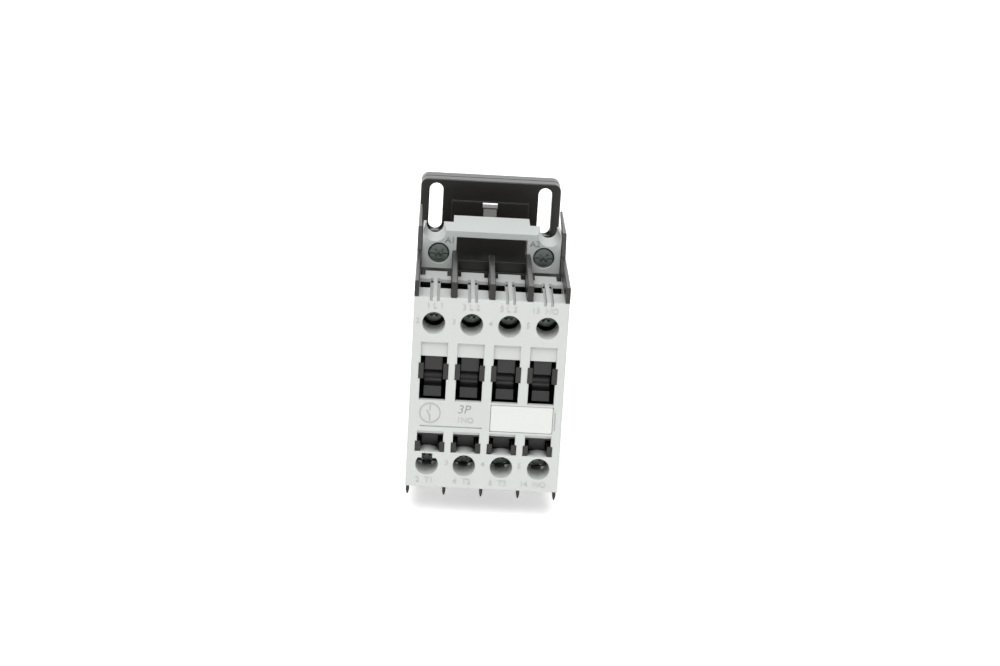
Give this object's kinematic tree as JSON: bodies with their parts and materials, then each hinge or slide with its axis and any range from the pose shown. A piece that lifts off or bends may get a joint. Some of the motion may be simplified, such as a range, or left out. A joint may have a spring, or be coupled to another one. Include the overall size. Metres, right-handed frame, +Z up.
{
  "type": "din rail contactor",
  "caption": "Compact power contactor for a mounting rail, with fronted screw terminals, finned pole barriers, a sliding contact carrier in front windows and a coil terminal bridge on top.",
  "frame": {"origin": "centre of the rear face that seats on the front of the mounting rail", "axes": "+X across the poles to the right, seen from the front; +Y back into the rail and panel, so the front face looks along -Y; +Z up the panel, towards the line terminals"},
  "size_m": [0.045, 0.087, 0.081],
  "materials": {
    "front_plastic": "moulded pale grey polyamide, fine matt texture",
    "terminal_plastic": "moulded cool grey polyamide",
    "dark_plastic": "moulded near-black thermoset, semi-matt",
    "carrier_plastic": "moulded black polyamide",
    "label": "smooth white plastic",
    "plated_steel": "zinc-plated and passivated steel",
    "spring_steel": "drawn spring wire",
    "laminations": "stacked and riveted silicon steel",
    "contact_brass": "stamped copper alloy",
    "contact_silver": "silver alloy rivet",
    "winding_copper": "enamelled copper wire",
    "bobbin_plastic": "natural glass-filled polyamide",
    "cushion_rubber": "moulded rubber pad"
  },
  "bodies": {
    "base": {"base_housing": "dark_plastic", "case_screws": "plated_steel", "coil_bobbin": "bobbin_plastic", "coil_clamps": "plated_steel", "coil_leads": "contact_brass", "coil_screws": "plated_steel", "coil_terminal_block": "terminal_plastic", "coil_winding": "winding_copper", "contact_housing": "dark_plastic", "core_cushions": "cushion_rubber", "fixed_contact_tips": "contact_silver", "fixed_core": "laminations", "front_housing": "front_plastic", "label_plate": "label", "latch_spring": "spring_steel", "line_clamps": "plated_steel", "line_contacts": "contact_brass", "line_screws": "plated_steel", "load_clamps": "plated_steel", "load_contacts": "contact_brass", "load_screws": "plated_steel", "return_springs": "spring_steel", "shading_rings": "winding_copper"},
    "carrier": {"contact_carrier": "carrier_plastic", "moving_core": "laminations", "armature_pin": "plated_steel", "contact_springs": "spring_steel"},
    "bridges": {"contact_bridges": "contact_brass", "moving_contact_tips": "contact_silver"},
    "latch": {"rail_latch": "carrier_plastic"}
  },
  "joints": [
    {"name": "carrier_slide", "type": "slide", "parent": "base", "child": "carrier", "axis": [0, 1, 0], "range_m": [0, 0.0055], "stiffness_N_per_m": 1500, "springref_m": -0.006, "deforming": ["return_springs"]},
    {"name": "bridge_slide", "type": "slide", "parent": "carrier", "child": "bridges", "axis": [0, 1, 0], "range_m": [-0.0015, 0], "deforming": ["contact_springs"]},
    {"name": "latch_slide", "type": "slide", "parent": "base", "child": "latch", "axis": [0, 0, -1], "range_m": [0, 0.0035], "stiffness_N_per_m": 800, "springref_m": -0.005, "deforming": ["latch_spring"]}
  ],
  "couplings": [
    {"joint": "bridge_slide", "follows": "carrier_slide", "ratio": -0.2727}
  ]
}
